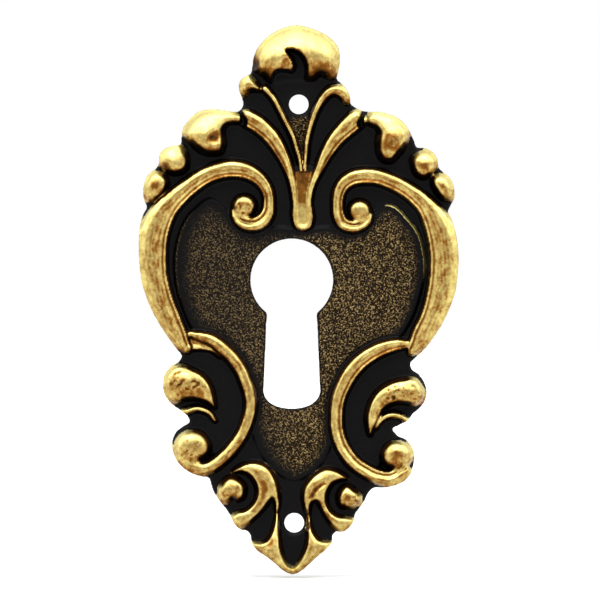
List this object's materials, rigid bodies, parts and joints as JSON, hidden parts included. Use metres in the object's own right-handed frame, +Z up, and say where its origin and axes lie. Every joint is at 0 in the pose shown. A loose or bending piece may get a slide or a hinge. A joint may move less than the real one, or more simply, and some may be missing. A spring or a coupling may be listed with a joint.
{
  "type": "keyhole escutcheon",
  "caption": "Cast brass keyhole escutcheon with rococo scrolls, knobs and a pebbled panel, a keyhole through its middle and pin holes at top and bottom.",
  "frame": {"origin": "centre of the keyhole's round bow, on the flat back face that lies on the drawer or door front", "axes": "+Z up along the plate, +X to the right as seen from the front, -Y towards the viewer, with the flat back in the plane Y = 0"},
  "size_m": [0.0326, 0.0043, 0.0558],
  "materials": {
    "antique_brass": "cast brass, blackened in the hollows and polished on the raised scrolls"
  },
  "bodies": {
    "root": {"escutcheon_plate": "antique_brass"}
  },
  "joints": []
}
